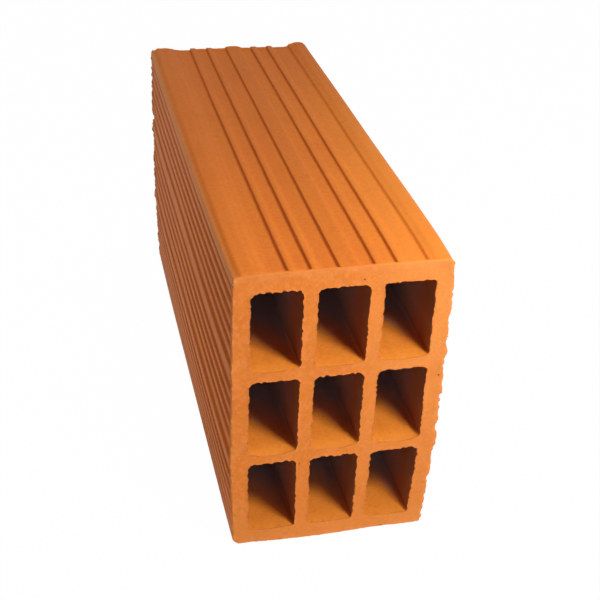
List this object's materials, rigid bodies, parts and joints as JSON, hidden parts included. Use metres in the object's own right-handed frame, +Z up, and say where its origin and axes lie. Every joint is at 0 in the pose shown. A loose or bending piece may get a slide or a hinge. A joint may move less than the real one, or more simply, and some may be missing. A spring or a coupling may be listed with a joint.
{
  "type": "hollow clay brick",
  "caption": "Extruded clay brick for partition walls: a long block with a grid of square-cut holes from end to end, ribbed sides and ridged bed faces.",
  "frame": {"origin": "middle of the underside, level with the two pads that the brick stands on", "axes": "+X across the brick, +Y along its length and its holes, +Z up, from one ridged bed face to the other"},
  "size_m": [0.1, 0.29, 0.15],
  "materials": {
    "fired_clay": "matt unglazed fired clay"
  },
  "bodies": {
    "root": {"brick": "fired_clay"}
  },
  "joints": []
}
